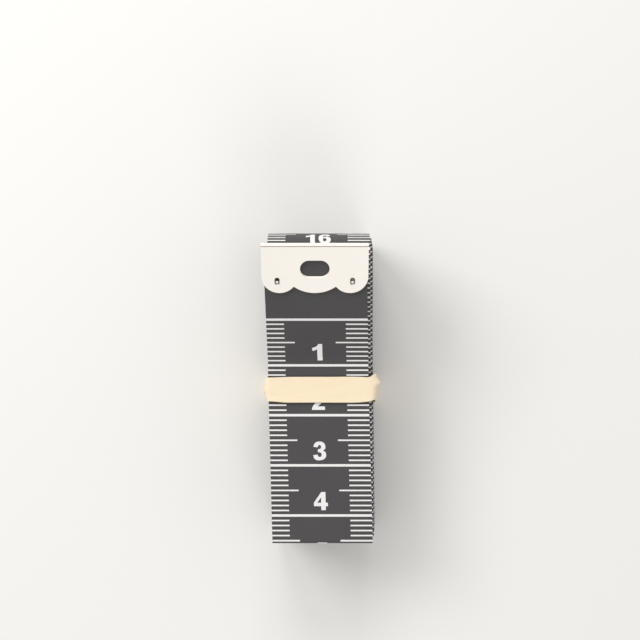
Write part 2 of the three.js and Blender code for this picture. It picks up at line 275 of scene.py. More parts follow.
def creamElastic():
    fixed = {"Subsurface Weight": 0.08, "Subsurface Scale": 0.001, "Specular IOR Level": 0.35}
    look = Look("creamElastic", fixed)
    place = look.uvPlace("loop")
    streak = look.noise(look.stretched(place, (0.35, 5.5, 1)), 1.3, 4)
    cloud = look.noise(place, 0.5, 3)
    powder = look.noise(place, 9, 2)
    shade = streak * 0.5 + cloud * 0.3 + powder * 0.2
    colour = look.tones(shade, "elastic")
    return look.finish(colour, 0.72 - streak * 0.15, streak * 0.8 + powder * 0.35, 0.35, 0.00005)


cloth = coatedCloth()
ink = scaleInk()
edge = cutEdge()
enamel = creamEnamel()
steel = brightSteel()
boreShadeDark = recessInside("boreShadeDark")
boreShadeGrey = recessInside("boreShadeGrey")
foldGrooveShade = recessInside("foldGrooveShade")
elastic = creamElastic()
print("materials made")


# Objects and meshes

def newPiece(name, bm, materials):
    mesh = bpy.data.meshes.new(name)
    bm.to_mesh(mesh)
    bm.free()
    for material in materials:
        mesh.materials.append(material)
    piece = bpy.data.objects.new(name, mesh)
    scene.collection.objects.link(piece)
    return piece


def settle(piece, sharpAngle=None):
    # modifiers into the mesh, then smooth shading with sharp corners
    graph = bpy.context.evaluated_depsgraph_get()
    raw = piece.data
    made = bpy.data.meshes.new_from_object(
        piece.evaluated_get(graph), preserve_all_data_layers=True, depsgraph=graph,
    )
    piece.modifiers.clear()
    piece.data = made
    bpy.data.meshes.remove(raw)
    made.name = piece.name
    if sharpAngle:
        made.shade_smooth()
        made.set_sharp_from_angle(angle=math.radians(sharpAngle))
    return piece


def allOf(bm):
    return bm.verts[:] + bm.edges[:] + bm.faces[:]


def cutAcross(bm, y):
    bmesh.ops.bisect_plane(bm, geom=allOf(bm), dist=1e-5, plane_co=(0, y, 0), plane_no=(0, 1, 0))


def mirrorDown(bm):
    # the half above z = 0 is copied below it and joined to it
    bmesh.ops.mirror(bm, geom=allOf(bm), matrix=Matrix.Identity(4), merge_dist=0.001, axis="Z")
    bmesh.ops.remove_doubles(bm, verts=bm.verts[:], dist=0.0005)
    bmesh.ops.recalc_face_normals(bm, faces=bm.faces[:])


def roundEdges(piece, width, fromAngle):
    soft = piece.modifiers.new("rounding", "BEVEL")
    soft.width = width
    soft.segments = 3
    soft.limit_method = "ANGLE"
    soft.angle_limit = math.radians(fromAngle)


def thicken(piece, thickness, even):
    shell = piece.modifiers.new("thickness", "SOLIDIFY")
    shell.thickness = thickness
    shell.offset = 0
    shell.use_even_offset = even
    return shell


# Tape: one ribbon from the start clip, down the front, round and round to its end in the core

tape = dict(
    width=20.0, thickness=0.35, scaleLength=1500.0, leader=15.8, tipGap=0.77,
    freeLength=25.8, freeAngle=25.0, straightSteps=24, bendRadius=9.0, bendSteps=8,
    splitAt=15.5,  # reading at which the free end starts
    flexLength=9.0,  # length over which the lifted end bends
)
winding = dict(
    runs=23, halfLength=30.615, pitch=0.874, endRun=15.0, endSteps=10, endX=0.0,
    waistBack=1.275, waistRaise=1.1, waistEnd=-19.04, settleRamp=6.0,
    lowerReach=0.2, outerFold=0.55, bottomFold=1.3, topFrontFold=4.6, topBackFold=3.0, innerFold=1.2,
    bulge=0.01, bulgeSteps=12, leastWall=0.5,
    flareAngle=25.0, flareRamp=4.5, flareRun=15.0, flareEase=4.5,
    fanTip=-1.7, fanBottom=-0.2, settledTop=-0.2, settledBottom=0.35, fanDecay=0.5,
    step=0.8, waver=0.07, waverLength=5.3, waverShift=2.1, calm=0.2,  # calm is the still share at each end
)

hingeSpot = Vector(next(j for j in frame["joints"] if j["name"] == "free_end_lift")["pos_m"]) / mm
bendY = hingeSpot.y
waistFront = hingeSpot.z - tape["thickness"] / 2
stack = waistFront - winding["waistBack"]  # between the middles of the outermost layers
coreGap = (stack - (winding["runs"] - 2) * winding["pitch"]) / 2
endHeight = coreGap + (winding["runs"] // 2 - 1) * winding["pitch"]
slope = math.radians(tape["freeAngle"])
bendShare = tape["freeLength"] / (tape["freeLength"] + bendY + winding["halfLength"])
bendX = mix(winding["fanTip"], winding["fanBottom"], bendShare)
bandLow, bandHigh = boxOf("elastic_band")
bandRoom = winding["waistRaise"]  # the band and its clearance, beside the tape as under it
sideShift = bandLow.x - (bendX - tape["width"] / 2 - bandRoom)  # the part's middle is not the tape's
lean = (bendX - winding["fanTip"]) / tape["freeLength"]


def flare(y):
    w = winding
    along = min(max(y - bendY, 0), w["flareRamp"] + w["flareRun"] + w["flareEase"])
    ramp = min(along, w["flareRamp"])
    run = min(max(along - w["flareRamp"], 0), w["flareRun"])
    ease = max(along - w["flareRamp"] - w["flareRun"], 0)
    rise = math.tan(math.radians(w["flareAngle"]))
    return rise * (ramp ** 2 / (2 * w["flareRamp"]) + run + ease - ease ** 2 / (2 * w["flareEase"]))


def backHeight(y):
    w = winding
    below = smoothstep(w["waistEnd"] - y, 0, w["settleRamp"])
    above = smoothstep(y - bendY, 0, w["settleRamp"])
    return tape["thickness"] / 2 + w["waistRaise"] * (1 - max(below, above))


def placed(x, y, z):
    # a point of the even winding in the drawn-in and flared bundle
    back = backHeight(y)
    front = waistFront + flare(y)
    return Vector((x + sideShift, y, back + z / stack * (front - back)))


def quarterTurn(z, towards, wall, radius, way):
    # from a run at height z into the wall, in more steps for a wider fold
    steps = 6 + int(radius * 2)
    angles = [math.pi / 2 * i / steps for i in range(steps + 1)]
    return [
        (wall - way * radius * (1 - math.sin(a)), z + towards * radius * (1 - math.cos(a)))
        for a in angles
    ]


def freePoint(distance):
    return Vector((
        bendX - lean * distance + sideShift,
        bendY + distance * math.cos(slope),
        waistFront + distance * math.sin(slope),
    ))


def freeRoute():
    # straight down from the tip, then a soft bend where the band holds it
    radius = tape["bendRadius"]
    reach = radius * math.tan(slope / 2)
    straight, bends = tape["straightSteps"], tape["bendSteps"]
    points = [freePoint(mix(tape["freeLength"], reach, i / straight)) for i in range(straight + 1)]
    for i in range(1, bends + 1):
        a = slope * (1 - i / bends)
        y = bendY - reach + radius * math.sin(a)
        points.append(Vector((bendX + sideShift, y, waistFront + radius * (1 - math.cos(a)))))
    return points, bendY - reach


def fanned(first, settled, turn):
    # sideways place of a fold: the outer turns lie askew, the inner ones settle
    return mix(settled, first, winding["fanDecay"] ** turn)


def runEnd(run, way, slack):
    # the wall that a run ends at, height and sideways place of the next run, and the folds between
    w = winding
    turn = run // 2
    reach = 0 if run else w["lowerReach"]
    drawnIn = slack if run == w["runs"] - 2 else 0
    wall = way * (w["halfLength"] + reach - turn * w["pitch"] - drawnIn)
    if way < 0:
        goal = turn * w["pitch"]
        toX = fanned(w["fanBottom"], w["settledBottom"], turn)
        folds = [w["bottomFold"] if turn else w["outerFold"]] * 2
    else:
        goal = stack - (turn + 1) * w["pitch"]
        toX = fanned(w["fanTip"], w["settledTop"], turn + 1)
        widest = (w["topBackFold"], w["topFrontFold"])
        folds = [max(radius - turn * w["pitch"], w["innerFold"]) for radius in widest]
    if run == w["runs"] - 1:
        goal = endHeight
        toX = w["endX"]
    return wall, goal, toX, folds


def waveAt(run, share, y):
    # slight waves in the inner runs, still towards both ends
    w = winding
    if not 1 < run < w["runs"] - 1:
        return 0
    stir = smoothstep(min(share, 1 - share), 0, w["calm"])
    return stir * w["waver"] * math.sin(y / w["waverLength"] + w["waverShift"] * run)


def woundRoute(startY, slack):
    w = winding
    points = []
    x, y, z = bendX, startY, stack
    for run in range(w["runs"]):
        way = 1 if run % 2 else -1
        wall, goal, toX, folds = runEnd(run, way, slack)
        towards = math.copysign(1, goal - z)
        first, second = [min(radius, abs(goal - z) / 2) for radius in folds]
        stop = wall - way * first
        steps = max(int(abs(stop - y) / w["step"]), 2)
        for i in range(1 if points else 0, steps):
            share = i / steps
            here = mix(y, stop, share)
            points.append((mix(x, toX, share), here, z + waveAt(run, share, here)))
        into = quarterTurn(z, towards, wall, first, way)
        out = quarterTurn(goal, -towards, wall, second, way)[::-1]
        points += [(toX, *p) for p in into]
        height = out[0][1] - into[-1][1]
        if abs(height) > w["leastWall"]:
            for i in range(1, w["bulgeSteps"]):
                t = i / w["bulgeSteps"]
                swell = abs(height) * w["bulge"] * math.sin(math.pi * t) ** 2
                points.append((toX, wall + way * swell, into[-1][1] + height * t))
            points.append((toX, *out[0]))
        points += [(toX, *p) for p in out[1:]]
        x, y, z = toX, out[-1][0], goal
    heading = 1 if w["runs"] % 2 else -1
    endStart = placed(x, y, z)
    direction = (placed(x, y + heading * w["endRun"], z) - endStart).normalized()
    inner = [endStart + direction * (w["endRun"] * (i + 1) / w["endSteps"]) for i in range(w["endSteps"])]
    return [placed(*p) for p in points] + inner, direction


def stationsOf(points):
    total = [0.0]
    for a, b in zip(points, points[1:]):
        total.append(total[-1] + (b - a).length)
    return total


def wholeRoute():
    # the innermost fold is drawn in until the tape has its true length
    free, startY = freeRoute()
    wanted = tape["scaleLength"] + 2 * tape["leader"]
    low, high = 0.0, winding["halfLength"]
    for halving in range(36):
        slack = (low + high) / 2
        wound, direction = woundRoute(startY, slack)
        if stationsOf(free + wound)[-1] > wanted:
            low = slack
        else:
            high = slack
    return free + wound, direction


routePoints, endDirection = wholeRoute()
routeStations = stationsOf(routePoints)


def turnNormals(points):
    # normal of the printed face at each point of the route
    normals = []
    for i in range(len(points)):
        ahead = points[min(i + 1, len(points) - 1)] - points[max(i - 1, 0)]
        normals.append(Vector((0, ahead.z, -ahead.y)).normalized())
    return normals


routeNormals = turnNormals(routePoints)


def routeAt(reading):
    # place and normal at a reading of the scale
    station = min(max(reading + tape["leader"], 0), routeStations[-1] - 1e-6)
    i = min(bisect_right(routeStations, station), len(routeStations) - 1)
    share = (station - routeStations[i - 1]) / (routeStations[i] - routeStations[i - 1])
    place = routePoints[i - 1].lerp(routePoints[i], share)
    normal = routeNormals[i - 1].lerp(routeNormals[i], share).normalized()
    return place, normal


print("tape route:", round(routeStations[-1], 2), "mm,", len(routePoints), "points")

marks = dict(
    fine=0.15, bold=0.245,  # half thickness of a millimetre mark and of a centimetre line
    shortLeft=-6.5, longLeft=-4.5, longRight=3.6, shortRight=5.65,
    plainStep=2.0, flexStep=0.25,  # longest plain row on the winding and on the free end
    bendStep=9.0,  # most degrees from row to row
)


def inkHalf(k):
    return marks["bold"] if k % 10 == 0 else marks["fine"]


def rowsBetween(start, end, longest):
    # a row at each edge of each mark, more where the tape bends
    rows = [start, end]
    lastMark = int(tape["scaleLength"])
    for k in range(lastMark + 1):
        rows += [r for r in (k - inkHalf(k), k + inkHalf(k)) if start < r < end]
    rows.sort()
    full = [rows[0]]
    for a, b in zip(rows, rows[1:]):
        turned = math.degrees(routeAt(a)[1].angle(routeAt(b)[1]))
        parts = max(math.ceil((b - a) / longest), math.ceil(turned / marks["bendStep"]))
        full += [mix(a, b, (i + 1) / parts) for i in range(parts)]
    return full


def isInk(reading, across):
    k = round(reading)
    if not 0 <= k <= tape["scaleLength"] or abs(reading - k) > inkHalf(k):
        return False
    if k % 10 == 0:
        return True
    left, right = ("longLeft", "longRight") if k % 5 == 0 else ("shortLeft", "shortRight")
    return across < marks[left] or across > marks[right]


def ribbon(name, rows):
    half = tape["width"] / 2
    inner = [marks[key] for key in ("shortLeft", "longLeft", "longRight", "shortRight")]
    columns = [-half, *inner, half]
    bm = bmesh.new()
    bmesh.ops.create_grid(bm, x_segments=len(columns) - 1, y_segments=len(rows) - 1, size=0.5)
    uv = bm.loops.layers.uv.new("cut")
    across, down = {}, {}
    for vert in bm.verts:
        column = round((vert.co.x + 0.5) * (len(columns) - 1))
        row = round((0.5 - vert.co.y) * (len(rows) - 1))
        across[vert], down[vert] = columns[column], rows[row]
    for vert in bm.verts:
        vert.co = (routeAt(down[vert])[0] + Vector((across[vert], 0, 0))) * mm
    for face in bm.faces:
        for loop in face.loops:
            loop[uv].uv = (across[loop.vert], down[loop.vert])
        middle = sum(down[v] for v in face.verts) / 4
        side = sum(across[v] for v in face.verts) / 4
        face.material_index = 1 if isInk(middle, side) else 0
    piece = newPiece(name, bm, [cloth, ink, edge])
    thicken(piece, tape["thickness"] * mm, even=True).material_offset_rim = 2
    return settle(piece, sharpAngle=40)


tipReading = tape["tipGap"] - tape["leader"]
endReading = tape["scaleLength"] + tape["leader"] - tape["tipGap"]
freeRows = rowsBetween(tipReading, tape["splitAt"], marks["flexStep"])
woundRows = rowsBetween(tape["splitAt"], endReading, marks["plainStep"])
tapeFreeEnd = ribbon("tapeFreeEnd", freeRows)
tapeWinding = ribbon("tapeWinding", woundRows)
tapeRows = freeRows + woundRows
print("tape:", len(tapeWinding.data.polygons) + len(tapeFreeEnd.data.polygons), "faces")

# Numbers of the scale, printed on both faces, the back one counted from the other end

numerals = dict(
    height=3.62, aboveLine=1.06, aside=-0.13, inkDepth=0.03, sunk=0.01,
    drawn=100, narrow=0.9, gap=20, sliver=0.05,  # of the outlines below
    spans=8, bent=1.0,  # a number that turns by more degrees than this from span to span is cut into rows
    backRoom=6.0,  # what a number on the back needs of the free end
)

# outlines of bold figures 100 high; a third value marks a corner
six = [
    [
        (70, 75, 1), (64, 91), (51, 100), (38, 101.5), (18, 95), (4, 75), (0, 48), (5, 20), (18, 3),
        (37, -1.5), (57, 4), (70, 18), (73, 34), (68, 53), (56, 63), (43, 65), (32, 61), (26, 54, 1),
        (28, 72), (33, 81), (39, 83), (45, 79), (46, 73, 1),
    ],
    [(37, 49), (45, 44), (48, 33), (44, 21), (37, 17), (29, 21), (26, 33), (29, 44)],
]
figures = {
    "0": [
        [(37, 101.5), (63, 88), (74, 50), (63, 12), (37, -1.5), (11, 12), (0, 50), (11, 88)],
        [(37, 83), (46, 76), (49, 50), (46, 24), (37, 17), (28, 24), (25, 50), (28, 76)],
    ],
    "1": [[
        (29, 0, 1), (57, 0, 1), (57, 100, 1), (36, 100, 1), (28, 88), (17, 81), (2, 77, 1), (2, 59, 1),
        (18, 62), (29, 68, 1),
    ]],
    "2": [[
        (0, 0, 1), (72, 0, 1), (72, 19, 1), (33, 19, 1), (43, 29), (58, 42), (69, 57), (71, 70), (66, 88),
        (52, 99), (36, 101.5), (18, 97), (6, 84), (2, 67, 1), (26, 64, 1), (28, 76), (36, 82), (44, 78),
        (46, 70), (42, 58), (30, 45), (12, 29), (3, 14),
    ]],
    "3": [[
        (1, 27, 1), (6, 9), (19, 0), (36, -1.5), (56, 3), (70, 17), (72, 30), (68, 44), (57, 52), (66, 60),
        (69, 73), (64, 90), (50, 100), (36, 101.5), (17, 97), (6, 84), (3, 73, 1), (27, 70, 1), (29, 79),
        (36, 83), (43, 80), (45, 72), (42, 63), (34, 60), (27, 60, 1), (27, 43, 1), (35, 43), (44, 39),
        (47, 30), (44, 20), (36, 17), (28, 20), (26, 30, 1),
    ]],
    "4": [
        [
            (40, 0, 1), (65, 0, 1), (65, 22, 1), (77, 22, 1), (77, 41, 1), (65, 41, 1), (65, 100, 1),
            (42, 100, 1), (0, 41, 1), (0, 22, 1), (40, 22, 1),
        ],
        [(40, 41, 1), (40, 71, 1), (19, 41, 1)],
    ],
    "5": [[
        (1, 27, 1), (6, 10), (18, 1), (35, -1.5), (56, 4), (70, 18), (73, 34), (68, 53), (55, 64), (42, 66),
        (28, 62, 1), (31, 80, 1), (66, 80, 1), (66, 100, 1), (14, 100, 1), (4, 46, 1), (25, 43, 1), (29, 48),
        (36, 50), (45, 46), (48, 33), (44, 21), (35, 17), (28, 20), (25, 29, 1),
    ]],
    "6": six,
    "7": [[
        (0, 100, 1), (72, 100, 1), (72, 83, 1), (58, 63), (46, 36), (42, 0, 1), (15, 0, 1), (20, 32),
        (32, 60), (46, 80, 1), (0, 80, 1),
    ]],
    "8": [
        [
            (36, 101.5), (56, 97), (68, 84), (69, 73), (66, 61), (57, 53), (68, 44), (73, 29), (68, 12),
            (54, 1), (36, -1.5), (18, 1), (4, 12), (-1, 29), (4, 44), (15, 53), (6, 61), (3, 73), (4, 84),
            (16, 97),
        ],
        [(36, 83), (43, 80), (46, 72), (43, 64), (36, 61), (29, 64), (26, 72), (29, 80)],
        [(36, 44), (45, 40), (48, 30), (45, 20), (36, 16), (27, 20), (24, 30), (27, 40)],
    ],
    "9": [[(73 - p[0], 100 - p[1], *p[2:]) for p in loop] for loop in six],
}


def numberShape(text):
    # the figures side by side as one flat curve, then a thin mesh
    curve = bpy.data.curves.new("number", "CURVE")
    curve.dimensions = "2D"
    curve.fill_mode = "BOTH"
    curve.resolution_u = 3
    curve.extrude = 0.5
    narrow = numerals["narrow"] if len(text) > 1 else 1
    pen = 0
    for figure in text:
        for loop in figures[figure]:
            spline = curve.splines.new("BEZIER")
            spline.bezier_points.add(len(loop) - 1)
            spline.use_cyclic_u = True
            for point, spot in zip(spline.bezier_points, loop):
                kind = "VECTOR" if len(spot) > 2 else "AUTO"
                point.co = (pen + narrow * spot[0], spot[1], 0)
                point.handle_left_type = kind
                point.handle_right_type = kind
        pen += narrow * max(p[0] for p in figures[figure][0]) + numerals["gap"]
    holder = bpy.data.objects.new("number", curve)
    scene.collection.objects.link(holder)
    graph = bpy.context.evaluated_depsgraph_get()
    mesh = bpy.data.meshes.new_from_object(holder.evaluated_get(graph))
    bpy.data.objects.remove(holder)
    bpy.data.curves.remove(curve)
    mesh.transform(Matrix.Translation((-(pen - numerals["gap"]) / 2, 0, 0)))
    return mesh


def stampNumber(bm, mesh, line, way, flexes):
    # way 1 prints on the front with the number above its line, way -1 on the back
    work = bmesh.new()
    work.from_mesh(mesh)
    bmesh.ops.remove_doubles(work, verts=work.verts[:], dist=0.001)
    slivers = [face for face in work.faces if face.calc_area() < numerals["sliver"]]
    # a dictionary, not a set, so that the order is the same each time
    longest = dict.fromkeys(max(face.edges, key=lambda edge: edge.calc_length()) for face in slivers)
    bmesh.ops.dissolve_edges(work, edges=list(longest))
    bmesh.ops.dissolve_limit(work, angle_limit=0.01, verts=work.verts[:], edges=work.edges[:])
    grow = numerals["height"] / numerals["drawn"]
    foot = numerals["aboveLine"]
    top = foot + numerals["height"]
    for vert in work.verts:
        lift = (vert.co.z + 0.5) * numerals["inkDepth"] - numerals["sunk"]
        vert.co = (vert.co.x * grow + numerals["aside"], vert.co.y * grow + foot, lift)
    spans = numerals["spans"]
    normals = [routeAt(line - way * top * i / spans)[1] for i in range(spans + 1)]
    turned = max(math.degrees(a.angle(b)) for a, b in zip(normals, normals[1:]))
    if flexes or turned > numerals["bent"]:
        # cut at the tape's own rows, so that both bend alike
        levels = [way * (line - row) for row in tapeRows]
        for level in [y for y in levels if foot < y < top]:
            cutAcross(work, level)
    bmesh.ops.dissolve_degenerate(work, dist=0.002, edges=work.edges[:])
    uvLayer = work.loops.layers.uv.new("cut")
    flat = {}
    for vert in work.verts:
        flat[vert] = (vert.co.x, line - way * vert.co.y)
        place, normal = routeAt(line - way * vert.co.y)
        skin = way * (tape["thickness"] / 2 + vert.co.z)
        vert.co = (place + Vector((flat[vert][0], 0, 0)) + normal * skin) * mm
    for face in work.faces:
        for loop in face.loops:
            loop[uvLayer].uv = flat[loop.vert]
    done = bpy.data.meshes.new("stamped")
    work.to_mesh(done)
    work.free()
    bm.from_mesh(done)
    bpy.data.meshes.remove(done)


def printNumbers():
    freeBm, woundBm = bmesh.new(), bmesh.new()
    for bm in (freeBm, woundBm):
        bm.loops.layers.uv.new("cut")
    split = tape["splitAt"]
    for n in range(1, int(tape["scaleLength"] / 10) + 1):
        mesh = numberShape(str(n))
        front = 10 * n
        back = tape["scaleLength"] - front
        for line, way, limit in ((front, 1, split), (back, -1, split - numerals["backRoom"])):
            flexes = line < limit
            stampNumber(freeBm if flexes else woundBm, mesh, line, way, flexes)
        bpy.data.meshes.remove(mesh)
    return newPiece("freeEndNumerals", freeBm, [ink]), newPiece("windingNumerals", woundBm, [ink])


freeEndNumerals, windingNumerals = printNumbers()
print("numbers:", len(windingNumerals.data.polygons), "faces on the winding")

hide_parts("tape_winding")
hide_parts("tape_free_end")
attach(tapeWinding, "bundle")
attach(windingNumerals, "bundle")
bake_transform(tapeFreeEnd)
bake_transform(freeEndNumerals)

# Clips: a scalloped blank folded over each end of the tape

clip = dict(
    width=20.7, length=10.0, plate=0.42, pocket=0.275, foldRadius=0.25,
    sideScallop=3.5, centreScallop=6.9, arcStep=5.0,
    windowWidth=5.7, windowHeight=3.5, windowFromTip=4.95, windowSegments=44, lip=0.26, lipRim=0.6,
    eyeX=7.3, eyeFromTip=7.5, eyeRadius=0.46, eyeStretch=0.29, eyeSegments=24,
    foldSteps=8, squareness=5, groove=0.1, grooveStep=6, rounding=0.09, proud=0.13,
)


def arcOn(bm, vert, centre, angle):
    steps = max(int(abs(angle) / math.radians(clip["arcStep"])), 4)
    made = bmesh.ops.spin(
        bm, geom=[vert], cent=(*centre, 0), axis=(0, 0, 1), angle=angle, steps=steps, use_duplicate=False,
    )
    return next(g for g in made["geom_last"] if isinstance(g, bmesh.types.BMVert))


def hole(bm, centre, radius, reachX, reachY, segments):
    turn = Matrix.Rotation(math.pi / segments, 4, "Z")
    made = bmesh.ops.create_circle(bm, cap_ends=False, radius=radius, segments=segments, matrix=turn)
    for vert in made["verts"]:
        vert.co.x += centre[0] + math.copysign(reachX, vert.co.x)
        vert.co.y += centre[1] + math.copysign(reachY, vert.co.y)


def scallopedOutline(bm, lead):
    # a broad scallop between two small ones, on circles that meet in cusps
    c = clip
    side = c["width"] / 2
    lobeX = side - c["sideScallop"]
    lobeY = c["sideScallop"] - c["length"] - lead
    centreY = c["centreScallop"] - c["length"] - lead
    apart = math.hypot(lobeX, lobeY - centreY)
    a = (c["centreScallop"] ** 2 - c["sideScallop"] ** 2 + apart ** 2) / (2 * apart)
    h = math.sqrt(c["centreScallop"] ** 2 - a ** 2)
    ux, uy = lobeX / apart, (lobeY - centreY) / apart
    cusp = (a * ux + h * uy, centreY + a * uy - h * ux)
    lobeAngle = -math.atan2(cusp[1] - lobeY, cusp[0] - lobeX)
    centreAngle = math.atan2(cusp[1] - centreY, cusp[0])
    first = bm.verts.new((side, 0, 0))
    corner = bm.verts.new((-side, 0, 0))
    vert = bm.verts.new((-side, lobeY, 0))
    bm.edges.new((first, corner))
    bm.edges.new((corner, vert))
    vert = arcOn(bm, vert, (-lobeX, lobeY), lobeAngle)
    vert = arcOn(bm, vert, (0, centreY), math.pi + 2 * centreAngle)
    vert = arcOn(bm, vert, (lobeX, lobeY), lobeAngle)
    bm.edges.new((vert, first))


def clipBlank():
    # one leaf of the clip, cut flat and folded, then mirrored for the other
    c = clip
    middle = c["pocket"] + c["plate"] / 2
    flat = middle - c["foldRadius"]
    bend = c["foldRadius"] * math.pi / 2
    lead = flat + bend - c["plate"] / 2 - c["foldRadius"]  # what the fold adds to the flat length
    bm = bmesh.new()
    scallopedOutline(bm, lead)
    radius = c["windowHeight"] / 2
    reach = c["windowWidth"] / 2 - radius
    hole(bm, (0, -c["windowFromTip"] - lead), radius, reach, 0, c["windowSegments"])
    for sign in (-1, 1):
        eye = (sign * c["eyeX"], -c["eyeFromTip"] - lead)
        hole(bm, eye, c["eyeRadius"], 0, c["eyeStretch"], c["eyeSegments"])
    bmesh.ops.triangle_fill(bm, use_beauty=True, use_dissolve=False, edges=bm.edges[:], normal=(0, 0, 1))
    bmesh.ops.dissolve_limit(bm, angle_limit=0.01, verts=bm.verts[:], edges=bm.edges[:])
    for i in range(c["foldSteps"] + 1):
        cutAcross(bm, -(flat + bend * i / c["foldSteps"]))
    for face in bm.faces:
        step = (-face.calc_center_median().y - flat) / bend * c["foldSteps"]
        # the faces in the groove beside the fold take painted shade
        face.material_index = 1 if abs(step - c["grooveStep"]) < 1 else 0
    for vert in bm.verts:
        down = -vert.co.y
        if down <= flat:
            vert.co = (vert.co.x, -c["plate"] / 2, down)
        elif down <= flat + bend:
            turned = (down - flat) / c["foldRadius"]
            y = -c["plate"] / 2 - c["foldRadius"] * (1 - math.cos(turned))
            vert.co = (vert.co.x, y, flat + c["foldRadius"] * math.sin(turned))
        else:
            vert.co = (vert.co.x, lead - down, middle)
    mirrorDown(bm)
    return bm


def slopeLip(mesh):
    # the lower wall of the window leans back, as the punch left it
    c = clip
    front = c["pocket"] + c["plate"]
    near = 0.01
    for vert in mesh.vertices:
        x, y, z = vert.co
        below = -(y + c["windowFromTip"]) / (c["windowHeight"] / 2)
        inWindow = abs(x) < c["windowWidth"] / 2 + near and 0 < below < 1 + near
        if inWindow and z > 0:
            vert.co.y += c["lip"] * below * ((front - z) / c["plate"] - c["lipRim"])


def pressFold(mesh):
    # the press squares the outside of the fold and leaves a fine groove beside its edge
    c = clip
    outer = c["foldRadius"] + c["plate"] / 2
    inset = c["pocket"] + c["plate"] - outer
    for vert in mesh.vertices:
        u, w = vert.co.y / outer + 1, (abs(vert.co.z) - inset) / outer
        onOutside = abs(math.hypot(u, w) - 1) < 0.05
        if min(u, w) < -0.001 or not onOutside:
            continue
        step = math.atan2(w, u) / (math.pi / 2) * c["foldSteps"]
        grow = (max(u, 0) ** c["squareness"] + max(w, 0) ** c["squareness"]) ** (-1 / c["squareness"])
        sunk = c["groove"] if abs(step - c["grooveStep"]) < 0.3 else 0
        vert.co.y = (u * grow - 1) * outer
        vert.co.z = math.copysign(inset + w * grow * outer - sunk, vert.co.z)


def makeClip(name, spot):
    piece = newPiece(name, clipBlank(), [enamel, foldGrooveShade])
    thicken(piece, clip["plate"], even=True)
    settle(piece)
    slopeLip(piece.data)
    pressFold(piece.data)
    roundEdges(piece, clip["rounding"], fromAngle=70)
    settle(piece, sharpAngle=35)
    even = piece.modifiers.new("even", "WEIGHTED_NORMAL")
    even.keep_sharp = True
    settle(piece)
    piece.data.transform(Matrix.Scale(mm, 4) @ spot)
    return piece


# Eyelets: long rings through clip and tape, with the peened pin at the lower end

eyelet = dict(
    ring=0.45, wire=0.06, reach=0.29, seat=0.70, floor=0.22, pin=0.28, pinHeight=0.46, segments=28,
    shoulder=0.6, flange=1.3,  # of the wire: height of the rolled rim's shoulder, and its reach
    flangeFoot=0.02, underFlange=0.03,
)


def makeEyelet(name, spot, boreShade):
    e = eyelet
    bm = bmesh.new()
    ring, wire, seat = e["ring"], e["wire"], e["seat"]
    bore = ring - wire
    outline = [
        (bore, e["floor"]), (bore, seat), (ring, seat + wire), (ring + wire, seat + e["shoulder"] * wire),
        (ring + e["flange"] * wire, seat - e["flangeFoot"]), (ring, seat - e["underFlange"]), (ring, 0),
    ]
    halfStep = Matrix.Rotation(math.pi / e["segments"], 4, "Z")
    rings = []  # the first one is closed by the eyelet's floor
    for radius, z in outline:
        level = Matrix.Translation((0, 0, z)) @ halfStep
        made = bmesh.ops.create_circle(
            bm, cap_ends=not rings, radius=radius, segments=e["segments"], matrix=level,
        )
        rings.append([edge for edge in bm.edges if edge.verts[0] in made["verts"]])
    for lower, upper in zip(rings, rings[1:]):
        bmesh.ops.bridge_loops(bm, edges=lower + upper)
    # the floor across the bore carries painted shade for the depth of the hole
    for face in bm.faces:
        face.material_index = 1 if len(face.verts) > 4 else 0
    for vert in bm.verts:
        vert.co.y += math.copysign(e["reach"], vert.co.y)
    pinSpot = Matrix.Translation((0, -e["reach"], e["pinHeight"]))
    head = bmesh.ops.create_icosphere(bm, subdivisions=3, radius=e["pin"], matrix=pinSpot)
    # the pin head takes the cream enamel so that it shows as a bright dot: a painted highlight in place of
    # the glint of a steel pin
    for face in {f for v in head["verts"] for f in v.link_faces}:
        face.material_index = 2
    mirrorDown(bm)
    bmesh.ops.transform(bm, matrix=Matrix.Scale(mm, 4) @ spot, verts=bm.verts[:])
    return settle(newPiece(name, bm, [steel, boreShade, enamel]), sharpAngle=50)


endSlope = math.atan2(endDirection.z, endDirection.y)
startTip = freePoint(tape["freeLength"] + clip["proud"])
startSpot = Matrix.Translation(startTip) @ Matrix.Rotation(slope, 4, "X")
endSpot = Matrix.Translation(routePoints[-1]) @ Matrix.Rotation(endSlope, 4, "X")
for end, spot, body in (("start", startSpot, "free_end"), ("end", endSpot, "bundle")):
    made = makeClip(end + "Clip", spot)
    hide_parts(end + "_ferrule")
    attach(made, body)
    # each eyelet's bore floor gets painted shade, dark on the left and lighter grey on the right
    for word, sign, boreShade in (("Left", -1, boreShadeDark), ("Right", 1, boreShadeGrey)):
        place = spot @ Matrix.Translation((sign * clip["eyeX"], -clip["eyeFromTip"], 0))
        ring = makeEyelet(end + "Eyelet" + word, place, boreShade)
        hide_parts(end + "_rivet_" + word.lower())
        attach(ring, body)
print("clips and eyelets made")

# Elastic band: a loop pulled round the waist, pinched where it turns over the tape's edges

